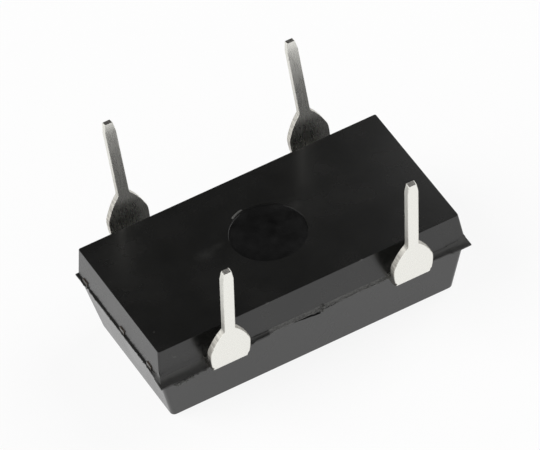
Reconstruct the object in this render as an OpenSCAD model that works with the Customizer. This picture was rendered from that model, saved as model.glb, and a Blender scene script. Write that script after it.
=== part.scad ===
// Crystal oscillator in a half-size dual-in-line moulded package, in millimetres.
// It rests on its marking face with the leads up, as a part laid on its back.
// Origin: centre of the marking face. +X runs along the body, +Y to the rear row, +Z to the lead tips.

/* [Moulded body] */
// Length of the body at its parting line, wall to wall
body_len = 12.76; // [12.5:0.01:13.4]
// Width of the body at its parting line, wall to wall
body_wid = 6.49; // [6.4:0.01:6.9]
// Height of the marking-side half, up to the parting line
lower_h = 2.48; // [2.4:0.01:2.7]
// Height of the pin-side half, above the parting line
upper_h = 1.42; // [1.35:0.01:1.6]
// How far each wall of the marking-side half leans in over its height
lower_draft = 0.465; // [0.3:0.005:0.5]
// How far each wall of the pin-side half leans in over its height
upper_draft = 0.115; // [0.05:0.005:0.2]
// Radius of the body's four upright edges at the parting line
corner_r = 0.2; // [0.1:0.01:0.3]

/* [Mould marks] */
// How far the thin flash rim stands out of the walls at the parting line
flash_out = 0.07; // [0.03:0.01:0.12]
// Thickness of the flash rim
flash_t = 0.06; // [0.03:0.01:0.1]
// Length of the broken-off gate stub on the front wall
gate_len = 0.85; // [0.5:0.05:1.5]
// Height of the gate stub
gate_h = 0.16; // [0.1:0.01:0.24]
// How far the gate stub stands out of the front wall
gate_out = 0.1; // [0.05:0.01:0.2]
// Distance of the gate stub from the body's middle, along the front wall
gate_x = -0.1; // [-1:0.05:1]
// Diameter of the ejector-pin recess in the middle of the pin side
ejector_d = 2.95; // [2:0.05:3.5]
// Depth of the ejector-pin recess
ejector_depth = 0.05; // [0.02:0.01:0.1]
// Diameter of the dimple that marks lead 1 on the marking face
dimple_d = 1; // [0.6:0.05:1.2]
// Depth of the dimple
dimple_depth = 0.1; // [0.05:0.01:0.2]
// Distance of the dimple's middle from the two nearest edges of the marking face
dimple_edge = 0.95; // [0.8:0.05:1.2]

/* [Leads] */
// Distance between the two leads of a row
lead_pitch = 7.62; // [7.4:0.01:7.8]
// Distance between the two rows at their bends, middle of metal to middle of metal
row_pitch = 7.66; // [7.6:0.01:7.9]
// Thickness of the lead-frame metal
metal_t = 0.25; // [0.2:0.01:0.27]
// Inner radius of the bend
bend_r = 0.1; // [0.06:0.01:0.15]
// How far the leads lean outwards from upright, in degrees
splay = 8.3; // [5:0.1:9]
// Width of a lead where it leaves the body
foot_w = 1.42; // [1.3:0.01:1.5]
// Widest part of the lead's stand-off head
head_w = 1.64; // [1.55:0.01:1.7]
// Height above the bend at which the head reaches its full width
head_low = 0.35; // [0.2:0.01:0.5]
// Height above the bend at which the head starts to narrow
head_high = 0.85; // [0.7:0.01:1]
// Height of the whole head above the bend
head_len = 1.77; // [1.6:0.01:1.9]
// How far the head's shoulders bulge past a straight slope
head_bulge = 0.06; // [0.02:0.01:0.1]
// Width of the pin above the head
pin_w = 0.46; // [0.4:0.01:0.5]
// Height of the pin's tip above the bend, for a lead of nominal length
pin_len = 5.25; // [5:0.01:5.4]
// Length of the coined point at the pin's tip
tip_len = 0.42; // [0.3:0.01:0.5]
// Width of the point's blunt end
tip_w = 0.22; // [0.15:0.01:0.3]
// Thickness of the point's blunt end
tip_t = 0.11; // [0.08:0.01:0.18]
// Extra length of lead 1 over the nominal
trim_1 = -0.09; // [-0.2:0.01:0.3]
// Extra length of lead 4
trim_4 = -0.11; // [-0.2:0.01:0.3]
// Extra length of lead 5
trim_5 = 0.22; // [-0.2:0.01:0.3]
// Extra length of lead 8
trim_8 = 0.05; // [-0.2:0.01:0.3]

/* [Lead frame inside] */
// Smallest gap between neighbouring pieces of the frame
frame_gap = 0.25; // [0.2:0.01:0.28]
// How far the chip pad starts past the edge of leads 1 and 8, towards the left end wall
pad_inset = 1.01; // [0.9:0.01:1.1]
// Length of the chip pad along the body
pad_len = 1.8; // [1.6:0.01:1.9]
// Width of the chip pad
pad_wid = 1.7; // [1.6:0.01:1.8]
// Width of the tie bars that end in the left end wall
tie_w = 0.34; // [0.25:0.01:0.4]
// How far the cut ends of the tie bars stand out of the end wall
tie_out = 0.03; // [0.01:0.01:0.06]
// Sideways place of the chip pad's tie bar
pad_tie_y = -0.3; // [-0.5:0.05:0.5]
// Distance of the front post's tie bar from the body's centre line
front_tie_y = 2.4; // [2.3:0.01:2.5]
// Distance of the rear post's tie bar from the body's centre line
rear_tie_y = 2.6; // [2.4:0.01:2.7]
// Width of the straps from the posts to their tie bars
strap_w = 0.3; // [0.25:0.01:0.32]
// Length of a post along the body
post_len = 1; // [0.9:0.01:1.05]
// Width of the inner fingers of leads 4 and 5
finger_w = 0.6; // [0.5:0.01:0.7]
// Diameter of the hole that locks each lead in the compound
lock_d = 0.5; // [0.4:0.01:0.6]
// Distance of the locking hole's middle from the lead's inner edge
lock_inset = 0.75; // [0.65:0.01:0.85]

/* [Chip and bond wires] */
// Length of the chip along the body
chip_len = 1.4; // [1.3:0.01:1.5]
// Width of the chip
chip_wid = 1.2; // [1.1:0.01:1.4]
// Thickness of the chip
chip_t = 0.3; // [0.25:0.01:0.35]
// Thickness of the glue film under the chip
glue_t = 0.03; // [0.02:0.01:0.05]
// How far the glue film shows round the chip
glue_out = 0.08; // [0.05:0.01:0.1]
// Diameter of the bond wires
bond_d = 0.03; // [0.025:0.005:0.04]
// Height of a bond wire's loop over the chip
bond_loop = 0.28; // [0.2:0.01:0.35]
// Diameter of the ball and of the stitch at a wire's ends
bond_ball_d = 0.09; // [0.08:0.01:0.1]
// Thickness of the ball and of the stitch
bond_ball_t = 0.02; // [0.02:0.005:0.03]
// Distance of the bonding pads from the chip's edge
bond_edge = 0.15; // [0.12:0.01:0.2]

/* [Crystal unit] */
// Outer diameter of the can
can_d = 3; // [2.8:0.01:3.1]
// Length of the can
can_len = 7.6; // [7.3:0.01:7.8]
// Thickness of the can's wall
can_wall = 0.2; // [0.15:0.01:0.25]
// Radius of the can's outer edge at its closed end
can_edge_r = 0.4; // [0.3:0.01:0.5]
// Length of the stem that closes the can
stem_len = 1; // [0.8:0.05:1.2]
// Diameter of the glass bead in the stem
glass_d = 2; // [1.8:0.01:2.2]
// Distance from the posts to the can's mouth
can_gap = 0.35; // [0.3:0.01:0.5]
// Diameter of the crystal unit's two wires
wire_d = 0.3; // [0.25:0.01:0.32]
// Distance between the two wires, middle to middle
wire_pitch = 1.1; // [1:0.01:1.2]
// Length of each wire that is welded to its post
weld_len = 0.75; // [0.6:0.01:0.85]
// Gap between the stem and the quartz strip's end
quartz_gap = 0.2; // [0.2:0.01:0.3]
// Length of the quartz strip
quartz_len = 4.8; // [4.4:0.05:5]
// How far the quartz strip's long edges lie outside the middles of the two wires
quartz_side = 0.25; // [0.2:0.01:0.35]
// Thickness of the quartz strip
quartz_t = 0.15; // [0.1:0.01:0.2]
// How far the strip reaches over the ends of the wires
quartz_lap = 0.4; // [0.36:0.01:0.45]
// Length of the electrode films
film_len = 2.8; // [2.4:0.05:3]
// Width of the electrode films
film_wid = 1.1; // [1:0.01:1.2]
// Thickness of the electrode films, drawn thicker than the real evaporated metal
film_t = 0.02; // [0.02:0.005:0.03]
// Diameter of a dab of conductive glue at the strip's end
dab_d = 0.62; // [0.56:0.01:0.7]
// Thickness of the dab over the strip's upper film
dab_over = 0.05; // [0.03:0.01:0.1]

/* [Hidden] */
$fn = 32;

// Cuts run this far past the faces that they open.
past = 0.5;
REAR = 1;
FRONT = -1;

// Body and frame levels.
body_h = lower_h + upper_h;
wall_x = body_len / 2;
wall_y = body_wid / 2;
frame_z = lower_h;

// The centre of a lead's bend, seen from the end of the body.
bend_y = row_pitch / 2 - metal_t / 2 - bend_r;
bend_z = frame_z + metal_t + bend_r;

// Lead frame inside the body, from left to right. It is stamped round the leads, so it keeps to them.
lead_edge_x = -lead_pitch / 2 - foot_w / 2;
cross_x = lead_edge_x - frame_gap - strap_w;
pad_x = lead_edge_x - pad_inset;
post_x = pad_x + pad_len + frame_gap;
strap_y = pad_wid / 2 + frame_gap + strap_w / 2;
lead_in_y = strap_y + strap_w / 2 + frame_gap;
finger_y = max(lead_in_y, can_d / 2 + frame_gap);
finger_x = -lead_pitch / 2 + foot_w / 2 + frame_gap;

// Chip, on the marking side of its pad.
chip_x = pad_x + pad_len / 2;
chip_z = frame_z - glue_t - chip_t;

// Crystal unit, in the middle of the body's height.
can_x = post_x + post_len + can_gap;
can_z = body_h / 2;
wire_z = frame_z - wire_d / 2;
bore_r = can_d / 2 - can_wall;
seal_x = can_x + stem_len;
quartz_x = seal_x + quartz_gap;
quartz_wid = wire_pitch + 2 * quartz_side;
wire_in = quartz_gap + quartz_lap;
quartz_z = can_z + wire_d / 2;
film_x = quartz_x + quartz_len - film_len - (quartz_len - film_len) / 4;
film_tab_w = wire_d;
dab_x = quartz_x + quartz_lap / 2;
dab_h = quartz_z + quartz_t + film_t + dab_over - can_z;

// Points from p to q on a circular arc that bulges by b to the right of the way from p to q.
function arc(p, q, b, n = 8) =
    let (
        chord = q - p,
        half = norm(chord) / 2,
        r = (half * half + b * b) / (2 * b),
        side = [chord.y, -chord.x] / norm(chord),
        centre = (p + q) / 2 + side * (b - r),
        a = atan2(p.y - centre.y, p.x - centre.x),
        sweep = 2 * asin(half / r)
    )
    [for (i = [0:n]) centre + r * [cos(a + sweep * i / n), sin(a + sweep * i / n)]];

// One ring of a round wire's skin, square to the way the wire runs at that point.
function ring(p, way, across, d, sides) =
    let (up = cross(across, way))
    [for (k = [0:sides - 1])
        p + d / 2 * (across * cos(360 * (k + 0.5) / sides) + up * sin(360 * (k + 0.5) / sides))];

// A round wire of diameter d along points that lie in one upright plane.
module wire_along(path, d, sides) {
    last = len(path) - 1;
    heading = [path[last].x - path[0].x, path[last].y - path[0].y, 0];
    across = [-heading.y, heading.x, 0] / norm(heading);
    rings = [for (i = [0:last])
        let (way = path[min(i + 1, last)] - path[max(i - 1, 0)])
        ring(path[i], way / norm(way), across, d, sides)];
    skin = [for (i = [0:last - 1], k = [0:sides - 1])
        let (a = i * sides + k, b = i * sides + (k + 1) % sides)
        [a, b, b + sides, a + sides]];
    first_cap = [for (k = [sides - 1:-1:0]) k];
    last_cap = [for (k = [0:sides - 1]) last * sides + k];
    polyhedron([for (r = rings, p = r) p], concat([first_cap], skin, [last_cap]));
}

module at_side(side) {
    if (side == FRONT) mirror([0, 1, 0]) children();
    else children();
}

// Body

module rounded_plate(len_x, wid_y, r) {
    for (x = [-1, 1], y = [-1, 1])
        translate([x * (len_x / 2 - r), y * (wid_y / 2 - r)]) circle(r);
    square([len_x - 2 * r, wid_y], center = true);
    square([len_x, wid_y - 2 * r], center = true);
}

// One half of the body, from the parting line up, with walls that lean in by draft.
module drafted_half(h, draft) {
    linear_extrude(h, scale = [1 - 2 * draft / body_len, 1 - 2 * draft / body_wid], slices = 1)
        rounded_plate(body_len, body_wid, corner_r);
}

module body_outside() {
    translate([0, 0, lower_h]) {
        drafted_half(upper_h, upper_draft);
        mirror([0, 0, 1]) drafted_half(lower_h, lower_draft);
        linear_extrude(flash_t)
            rounded_plate(body_len + 2 * flash_out, body_wid + 2 * flash_out, corner_r + flash_out);
        translate([gate_x - gate_len / 2, -wall_y - gate_out, -gate_h / 2])
            cube([gate_len, gate_out + upper_draft, gate_h]);
    }
}

module moulded_body() {
    color("#1f1f1f") difference() {
        body_outside();
        translate([0, 0, body_h - ejector_depth]) cylinder(h = past, d = ejector_d);
        translate([-wall_x + lower_draft + dimple_edge, wall_y - lower_draft - dimple_edge, -past])
            cylinder(h = past + dimple_depth, d = dimple_d);
        lead_1();
        lead_4();
        lead_5();
        lead_8();
        die_pad();
        crystal_post_front();
        crystal_post_back();
        oscillator_chip();
        chip_adhesive();
        bond_wire_enable();
        bond_wire_ground();
        bond_wire_output();
        bond_wire_supply();
        bond_wire_crystal_front();
        bond_wire_crystal_back();
        crystal_space();
        crystal_wire_front();
        crystal_wire_back();
    }
}

// Leads

// Right-hand half of the blade's outline, from the bend up to the tip.
function blade_edge(tip) = concat(
    [[foot_w / 2, 0], [head_w / 2, head_low]],
    arc([head_w / 2, head_high], [pin_w / 2, head_len], head_bulge),
    [[pin_w / 2, tip - tip_len], [tip_w / 2, tip]]
);

// The flat blade, outer face down on z = 0, bend at y = 0 and tip at y = tip.
module blade(tip) {
    edge = blade_edge(tip);
    chamfer = (metal_t - tip_t) / 2;
    intersection() {
        linear_extrude(metal_t)
            polygon(concat(edge, [for (i = [len(edge) - 1:-1:0]) [-edge[i].x, edge[i].y]]));
        rotate([90, 0, 90]) linear_extrude(head_w + past, center = true)
            polygon([
                [0, 0], [tip - tip_len, 0], [tip, chamfer],
                [tip, metal_t - chamfer], [tip - tip_len, metal_t], [0, metal_t]
            ]);
    }
}

module bend() {
    rotate([0, 90, 0]) rotate_extrude(angle = 90 - splay)
        translate([bend_r, -foot_w / 2]) square([metal_t, foot_w]);
}

// What a lead shows outside the body: bend, head and pin, for the rear row.
module lead_outside(trim) {
    translate([0, bend_y, bend_z]) {
        bend();
        rotate([90 - splay, 0, 0]) translate([0, 0, -bend_r - metal_t]) blade(pin_len + trim);
    }
}

// The hole that the compound fills, in a lead whose inner edge is at inner_y.
module lock_hole(inner_y) {
    translate([0, inner_y + lock_inset, frame_z - past])
        cylinder(h = metal_t + 2 * past, d = lock_d);
}

// Leads 1 and 8: the inner end stops beside the post's strap.
module short_lead(side, trim) {
    color("#d8d7d0") at_side(side) translate([-lead_pitch / 2, 0, 0]) {
        lead_outside(trim);
        difference() {
            translate([-foot_w / 2, lead_in_y, frame_z]) cube([foot_w, bend_y - lead_in_y, metal_t]);
            lock_hole(lead_in_y);
        }
    }
}

// Leads 4 and 5: a finger runs beside the crystal unit to the chip's end of the body.
module long_lead(side, trim) {
    color("#d8d7d0") at_side(side) {
        translate([lead_pitch / 2, 0, 0]) lead_outside(trim);
        difference() {
            union() {
                translate([lead_pitch / 2 - foot_w / 2, finger_y, frame_z])
                    cube([foot_w, bend_y - finger_y, metal_t]);
                translate([finger_x, finger_y, frame_z])
                    cube([lead_pitch / 2 - finger_x, finger_w, metal_t]);
            }
            translate([lead_pitch / 2, 0, 0]) lock_hole(finger_y);
        }
    }
}

module lead_1() { short_lead(REAR, trim_1); }
module lead_4() { long_lead(REAR, trim_4); }
module lead_5() { long_lead(FRONT, trim_5); }
module lead_8() { short_lead(FRONT, trim_8); }

// Lead frame inside

module die_pad() {
    color("#c58c66") translate([0, 0, frame_z]) {
        translate([pad_x, -pad_wid / 2, 0]) cube([pad_len, pad_wid, metal_t]);
        translate([-wall_x - tie_out, pad_tie_y - tie_w / 2, 0])
            cube([pad_x + pad_len / 2 + wall_x + tie_out, tie_w, metal_t]);
    }
}

// A post for one wire of the crystal unit. Its strap runs past the chip pad, crosses outwards before
// lead 1 or 8, and ends in a tie bar at the left end wall.
module crystal_post(side, tie_y) {
    inner_y = (wire_pitch - wire_d) / 2 - frame_gap / 2;
    strap_in_y = strap_y - strap_w / 2;
    color("#c58c66") at_side(side) translate([0, 0, frame_z]) linear_extrude(metal_t) {
        translate([post_x, inner_y]) square([post_len, strap_in_y + strap_w - inner_y]);
        translate([cross_x, strap_in_y]) square([post_x + post_len - cross_x, strap_w]);
        translate([cross_x, strap_in_y]) square([strap_w, tie_y + tie_w / 2 - strap_in_y]);
        translate([-wall_x - tie_out, tie_y - tie_w / 2])
            square([cross_x + strap_w + wall_x + tie_out, tie_w]);
    }
}

module crystal_post_front() { crystal_post(FRONT, front_tie_y); }
module crystal_post_back() { crystal_post(REAR, rear_tie_y); }

// Chip and bond wires

module oscillator_chip() {
    color("#5d6068") translate([chip_x - chip_len / 2, -chip_wid / 2, chip_z])
        cube([chip_len, chip_wid, chip_t]);
}

module chip_adhesive() {
    color("#b9bcbe") translate([chip_x - chip_len / 2 - glue_out, -chip_wid / 2 - glue_out, chip_z + chip_t])
        cube([chip_len + 2 * glue_out, chip_wid + 2 * glue_out, glue_t]);
}

// A wire from the chip's face to the frame's face, looping away from both of them.
module bond_wire(from, to) {
    steps = 12;
    start_z = chip_z - bond_ball_t / 2;
    end_z = frame_z - bond_ball_t / 2;
    path = [for (i = [0:steps])
        let (t = i / steps, drop = bond_loop * sin(180 * sqrt(t)))
        [
            from.x + (to.x - from.x) * t,
            from.y + (to.y - from.y) * t,
            start_z + (end_z - start_z) * t - drop
        ]];
    color("#d4af37") {
        wire_along(path, bond_d, 6);
        translate([from.x, from.y, chip_z - bond_ball_t])
            cylinder(h = bond_ball_t, d = bond_ball_d, $fn = 8);
        translate([to.x, to.y, frame_z - bond_ball_t])
            cylinder(h = bond_ball_t, d = bond_ball_d, $fn = 8);
    }
}

// Bonding pads near the chip's long edges, counted from its left end.
function chip_pad(row, side) = [
    chip_x + chip_len / 2 - bond_edge - row * (chip_len - 2 * bond_edge) / 3,
    side * (chip_wid / 2 - bond_edge)
];
function chip_end_pad(side) = [chip_x + chip_len / 2 - bond_edge, side * bond_edge];
function lead_stitch(side) = [-lead_pitch / 2, side * (lead_in_y + bond_edge)];
function finger_stitch(side) = [finger_x + bond_edge, side * (finger_y + bond_edge)];
function post_stitch(side) = [
    post_x + bond_edge,
    side * ((wire_pitch + wire_d) / 2 + bond_edge)
];

module bond_wire_enable() { bond_wire(chip_pad(1, REAR), lead_stitch(REAR)); }
module bond_wire_supply() { bond_wire(chip_pad(1, FRONT), lead_stitch(FRONT)); }
module bond_wire_ground() { bond_wire(chip_pad(0, REAR), finger_stitch(REAR)); }
module bond_wire_output() { bond_wire(chip_pad(0, FRONT), finger_stitch(FRONT)); }
module bond_wire_crystal_front() { bond_wire(chip_end_pad(FRONT), post_stitch(FRONT)); }
module bond_wire_crystal_back() { bond_wire(chip_end_pad(REAR), post_stitch(REAR)); }

// Crystal unit

module along_can() {
    translate([can_x, 0, can_z]) rotate([0, 90, 0]) children();
}

// The can's outside, solid.
module crystal_space() {
    along_can() rotate_extrude() {
        square([can_d / 2, can_len - can_edge_r]);
        square([can_d / 2 - can_edge_r, can_len]);
        translate([can_d / 2 - can_edge_r, can_len - can_edge_r]) intersection() {
            circle(can_edge_r);
            square(can_edge_r);
        }
    }
}

module crystal_can() {
    color("#c9c9c6") difference() {
        crystal_space();
        along_can() translate([0, 0, -past]) cylinder(h = can_len - can_wall + past, r = bore_r);
    }
}

module stem_ring() {
    color("#b9b7ae") along_can() difference() {
        cylinder(h = stem_len, r = bore_r);
        translate([0, 0, -past]) cylinder(h = stem_len + 2 * past, d = glass_d);
    }
}

module glass_seal() {
    color("#49606b") difference() {
        along_can() cylinder(h = stem_len, d = glass_d);
        crystal_wire_front();
        crystal_wire_back();
    }
}

// A wire from its weld on the post, down to the can's middle and through the stem.
module crystal_wire(side) {
    weld_end = post_x + post_len - (can_gap - wire_d) / 2;
    y = side * wire_pitch / 2;
    color("#c4c2ba") wire_along([
        [weld_end - weld_len, y, wire_z],
        [weld_end, y, wire_z],
        [can_x, y, can_z],
        [seal_x + wire_in, y, can_z]
    ], wire_d, 12);
}

module crystal_wire_front() { crystal_wire(FRONT); }
module crystal_wire_back() { crystal_wire(REAR); }

module quartz_blank() {
    color("#dfe6e8") translate([quartz_x, -quartz_wid / 2, quartz_z])
        cube([quartz_len, quartz_wid, quartz_t]);
}

// A film with a tab to the strip's end on one side.
module film(z, side) {
    color("#cfd2d4") translate([0, 0, z]) {
        translate([film_x, -film_wid / 2, 0]) cube([film_len, film_wid, film_t]);
        translate([quartz_x, side * wire_pitch / 2 - film_tab_w / 2, 0])
            cube([film_x - quartz_x + past, film_tab_w, film_t]);
    }
}

module electrode_upper() { film(quartz_z + quartz_t, REAR); }
module electrode_lower() {
    difference() {
        film(quartz_z - film_t, FRONT);
        crystal_wire_front();
    }
}

// Glue round the end of one wire and the corner of the strip above it.
module blank_glue(side) {
    color("#a9a9a4") difference() {
        translate([dab_x, side * wire_pitch / 2, can_z]) cylinder(h = dab_h, d = dab_d);
        crystal_wire(side);
        quartz_blank();
        electrode_upper();
        electrode_lower();
    }
}

module blank_glue_front() { blank_glue(FRONT); }
module blank_glue_back() { blank_glue(REAR); }

moulded_body();
lead_1();
lead_4();
lead_5();
lead_8();
die_pad();
crystal_post_front();
crystal_post_back();
oscillator_chip();
chip_adhesive();
bond_wire_enable();
bond_wire_ground();
bond_wire_output();
bond_wire_supply();
bond_wire_crystal_front();
bond_wire_crystal_back();
crystal_can();
stem_ring();
glass_seal();
crystal_wire_front();
crystal_wire_back();
quartz_blank();
electrode_upper();
electrode_lower();
blank_glue_front();
blank_glue_back();
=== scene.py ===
import math

import bmesh
import bpy
from bpy.props import FloatProperty, FloatVectorProperty, PointerProperty
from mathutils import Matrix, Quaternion, Vector


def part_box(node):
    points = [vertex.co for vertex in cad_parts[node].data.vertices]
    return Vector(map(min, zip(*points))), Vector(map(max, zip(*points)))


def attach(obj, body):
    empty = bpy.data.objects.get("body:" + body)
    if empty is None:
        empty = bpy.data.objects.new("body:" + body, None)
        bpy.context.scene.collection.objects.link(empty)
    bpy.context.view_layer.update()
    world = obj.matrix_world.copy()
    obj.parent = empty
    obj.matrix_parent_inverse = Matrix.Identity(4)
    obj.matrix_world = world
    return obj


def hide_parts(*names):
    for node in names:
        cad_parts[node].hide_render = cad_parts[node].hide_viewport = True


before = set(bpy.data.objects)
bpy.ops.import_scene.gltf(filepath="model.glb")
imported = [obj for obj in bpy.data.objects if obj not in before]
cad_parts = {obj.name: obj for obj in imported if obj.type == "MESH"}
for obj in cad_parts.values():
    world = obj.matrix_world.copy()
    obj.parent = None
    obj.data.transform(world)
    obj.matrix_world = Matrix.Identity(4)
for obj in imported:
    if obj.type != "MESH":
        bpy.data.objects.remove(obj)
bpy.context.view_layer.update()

bl_info = {
    "name": "Crystal Oscillator",
    "version": (1, 0, 0),
    "blender": (4, 5, 0),
    "location": "3D View > Sidebar > Oscillator",
    "description": "Builds a moulded crystal oscillator lying on its back, leads up",
    "category": "Add Mesh",
}

MM = 0.001
# Places nearer to each other than this are taken as one.
NEAR = 0.002 * MM
REAR, FRONT = 1, -1
LEFT, RIGHT = -1, 1
# The slots that hold the finishes of the body, and of a lead's sides and end.
SKIN, TORN_AND_PAINTED_GLINT, FLASHED, PRESSED_AND_PAINTED_SHADE = range(4)
SHEARED, CUT = 1, 2
NOISE, CELLS, WAVES = "ShaderNodeTexNoise", "ShaderNodeTexVoronoi", "ShaderNodeTexWave"

BODY_LOW, BODY_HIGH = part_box("moulded_body")
# The low corners of a short lead and of a long one.
SHORT_LOW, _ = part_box("lead_1")
LONG_LOW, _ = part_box("lead_4")
FLASH_REACH = 0.07 * MM


def linear(code):
    """Turns an sRGB hex colour into the linear values that a shader takes."""
    parts = [int(code[i:i + 2], 16) / 255 for i in (1, 3, 5)]
    return tuple(p / 12.92 if p <= 0.04045 else ((p + 0.055) / 1.055) ** 2.4 for p in parts)


def length(name, description, default):
    return FloatProperty(
        name=name, description=description, default=default, min=0, unit="LENGTH", precision=5
    )


def angle(name, description, degrees):
    return FloatProperty(
        name=name, description=description, default=math.radians(degrees), subtype="ANGLE"
    )


def colour(name, description, code):
    return FloatVectorProperty(
        name=name, description=description, default=linear(code), min=0, max=1, size=3, subtype="COLOR"
    )


class BodySettings(bpy.types.PropertyGroup):
    flash: length("Flash reach", "How far the flash rim stands out of the walls", FLASH_REACH)
    flash_depth: length("Flash thickness", "Thickness of the flash rim", 0.06 * MM)
    length: length(
        "Length", "Length of the body at its parting line", BODY_HIGH.x - BODY_LOW.x - 2 * FLASH_REACH
    )
    width: length("Width", "Width of the body at its parting line", 6.49 * MM)
    height: length("Height", "Height of the body over the marking face", BODY_HIGH.z)
    parting: length("Parting line", "Height of the parting line over the marking face", SHORT_LOW.z)
    lower_draft: length("Lower draft", "Lean of the marking-side walls over their height", 0.465 * MM)
    upper_draft: length("Upper draft", "Lean of the pin-side walls over their height", 0.115 * MM)
    corner: length("Corner radius", "Radius of the four upright edges", 0.2 * MM)
    upper_rim: length("Upper rim", "Radius of the pin-side face's rim", 0.02 * MM)
    lower_rim: length("Lower rim", "Radius of the marking face's rim", 0.04 * MM)
    ejector: length("Ejector diameter", "Diameter of the ejector-pin recess", 2.95 * MM)
    ejector_depth: length("Ejector depth", "Depth of the ejector-pin recess", 0.05 * MM)
    dimple: length("Dimple diameter", "Diameter of the lead 1 dimple", 1 * MM)
    dimple_depth: length("Dimple depth", "Depth of the lead 1 dimple", 0.1 * MM)
    dimple_inset: length(
        "Dimple inset", "From the marking face's edges to the middle of the dimple", 0.95 * MM
    )
    recess_corner: length("Recess corner", "Radius between a recess's wall and its floor", 0.015 * MM)
    compound: colour("Compound", "Colour of the moulded epoxy compound", "#131312")
    # Also the lighter colour that paints a glint on the high burr at the ejector recess.
    torn: colour("Torn compound", "Colour of compound where flash broke off", "#4c4c4a")
    flash_tone: colour("Flash", "Colour of the thin flash rim", "#2a2a28")
    # Blacker than the compound: painted shade on the ejector recess's floor.
    pressed_and_painted_shade: colour("Pressed compound", "Colour of the compound under the ejector pin", "#0a0a0a")


class LeadSettings(bpy.types.PropertyGroup):
    pitch: length("Pitch", "Distance between the two leads of a row", 7.62 * MM)
    metal: length("Metal thickness", "Thickness of the lead-frame metal", 0.25 * MM)
    bend: length("Bend radius", "Inner radius of the bend", 0.1 * MM)
    bend_place: length(
        "Bend place", "Distance of the bend's centre from the body's middle plane", 3.605 * MM
    )
    splay: angle("Splay", "How far the leads lean outwards", 8.3)
    foot: length("Foot width", "Width of a lead where it leaves the body", 1.42 * MM)
    pin: length("Pin width", "Width of the pin above the head", 0.46 * MM)
    reach: length("Pin height", "Height of a nominal pin's tip above its bend", 5.25 * MM)
    tip: length("Point length", "Length of the coined point", 0.42 * MM)
    tip_width: length("Point width", "Width of the pin's cut end", 0.33 * MM)
    finger: length("Finger width", "Width of the finger inside the body", 0.6 * MM)
    hole: length("Lock hole", "Diameter of the hole that locks the lead in the compound", 0.5 * MM)
    hole_inset: length("Lock hole inset", "From the lead's inner end to the middle of its hole", 0.75 * MM)
    tin: colour("Tin", "Colour of the matt tin plating", "#f0efe9")
    sheared: colour("Sheared edge", "Colour of the sheared side faces", "#e4e1d9")
    tip_end: colour("Cut tip", "Colour of the pin's cut end", "#bebbb6")


class InsideSettings(bpy.types.PropertyGroup):
    copper: colour("Copper", "Colour of the bare frame metal inside", "#c58c66")
    cut_end: colour("Cut end", "Colour of a tie bar's stained cut end", "#4b4844")
    silicon: colour("Silicon", "Colour of the chip", "#5d6068")
    silver_glue: colour("Silver glue", "Colour of the conductive glue", "#b4b6b6")
    gold: colour("Gold", "Colour of the bond wires", "#e0b458")
    nickel_silver: colour("Nickel silver", "Colour of the drawn can", "#cbc9c2")
    stem_alloy: colour("Stem alloy", "Colour of the stem ring and the crystal's wires", "#bcb8ac")
    glass: colour("Seal glass", "Colour of the glass bead", "#5f7f8b")
    quartz: colour("Quartz", "Colour of the quartz strip", "#e6ecee")
    silver: colour("Silver film", "Colour of the electrode films", "#d9dadb")


class StageSettings(bpy.types.PropertyGroup):
    floor: colour("Floor", "Colour of the floor", "#f4f4f4")
    azimuth: angle("Azimuth", "Camera direction round the object", -23.47)
    elevation: angle("Elevation", "Camera height above the horizon", 45.66)
    roll: angle("Roll", "Tilt of the picture", 7.29)
    distance: length("Distance", "Distance from the camera to its target", 0.3)
    # A long lens keeps the body's edges nearly parallel.
    lens: FloatProperty(name="Lens", description="Focal length in millimetres", default=541, min=1)
    target: FloatVectorProperty(
        name="Target", description="Where the camera looks", size=3, subtype="TRANSLATION",
        default=(0.937 * MM, 1.909 * MM, 2.076 * MM),
    )


def deselect():
    bpy.ops.object.select_all(action="DESELECT")


def pick(piece):
    deselect()
    bpy.context.view_layer.objects.active = piece
    piece.select_set(True)


def named(name, size=(1, 1, 1)):
    """Names the object that was just added, gives it its size and sets its place in its mesh."""
    piece = bpy.context.active_object
    piece.name = piece.data.name = name
    piece.scale = size
    bpy.ops.object.transform_apply(location=True, rotation=True, scale=True)
    return piece


def edit(piece):
    pick(piece)
    bpy.ops.object.mode_set(mode="EDIT")


def leave():
    bpy.ops.object.mode_set(mode="OBJECT")


def choose_all():
    bpy.ops.mesh.select_all(action="SELECT")


def choose(kind, test):
    """In edit mode, selects the vertices, edges or faces that pass the test, and nothing else."""
    bpy.ops.mesh.select_mode(type=kind)
    bpy.ops.mesh.select_all(action="DESELECT")
    mesh = bpy.context.edit_object.data
    shape = bmesh.from_edit_mesh(mesh)
    shape.normal_update()
    found = 0
    for part in {"VERT": shape.verts, "EDGE": shape.edges, "FACE": shape.faces}[kind]:
        if test(part):
            part.select_set(True)
            found += 1
    shape.select_flush_mode()
    bmesh.update_edit_mesh(mesh)
    if not found:
        raise RuntimeError(f"nothing to select on {bpy.context.edit_object.name}")


def face_outwards():
    choose_all()
    bpy.ops.mesh.normals_make_consistent(inside=False)


def extrude(x, y, z):
    bpy.ops.mesh.extrude_region_move(TRANSFORM_OT_translate={"value": (x, y, z)})


def roughen(offset, seed):
    """Moves each chosen vertex its own way, by the offset at most."""
    bpy.ops.transform.vertex_random(offset=offset, uniform=0, normal=0, seed=seed)


def assign(piece, finish_index):
    """Gives the chosen faces the finish in that slot."""
    piece.active_material_index = finish_index
    bpy.ops.object.material_slot_assign()


def between(low, value, high):
    return low - NEAR <= value <= high + NEAR


def middle(edge):
    return (edge.verts[0].co + edge.verts[1].co) / 2


def run(edge):
    return edge.verts[1].co - edge.verts[0].co


def cut(piece, tool, operation="DIFFERENCE"):
    """Cuts the tool out of the piece, or adds it, and removes the tool."""
    pick(piece)
    modifier = piece.modifiers.new("cut", "BOOLEAN")
    modifier.operation, modifier.solver, modifier.object = operation, "EXACT", tool
    bpy.ops.object.modifier_apply(modifier=modifier.name)
    bpy.data.objects.remove(tool)


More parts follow.
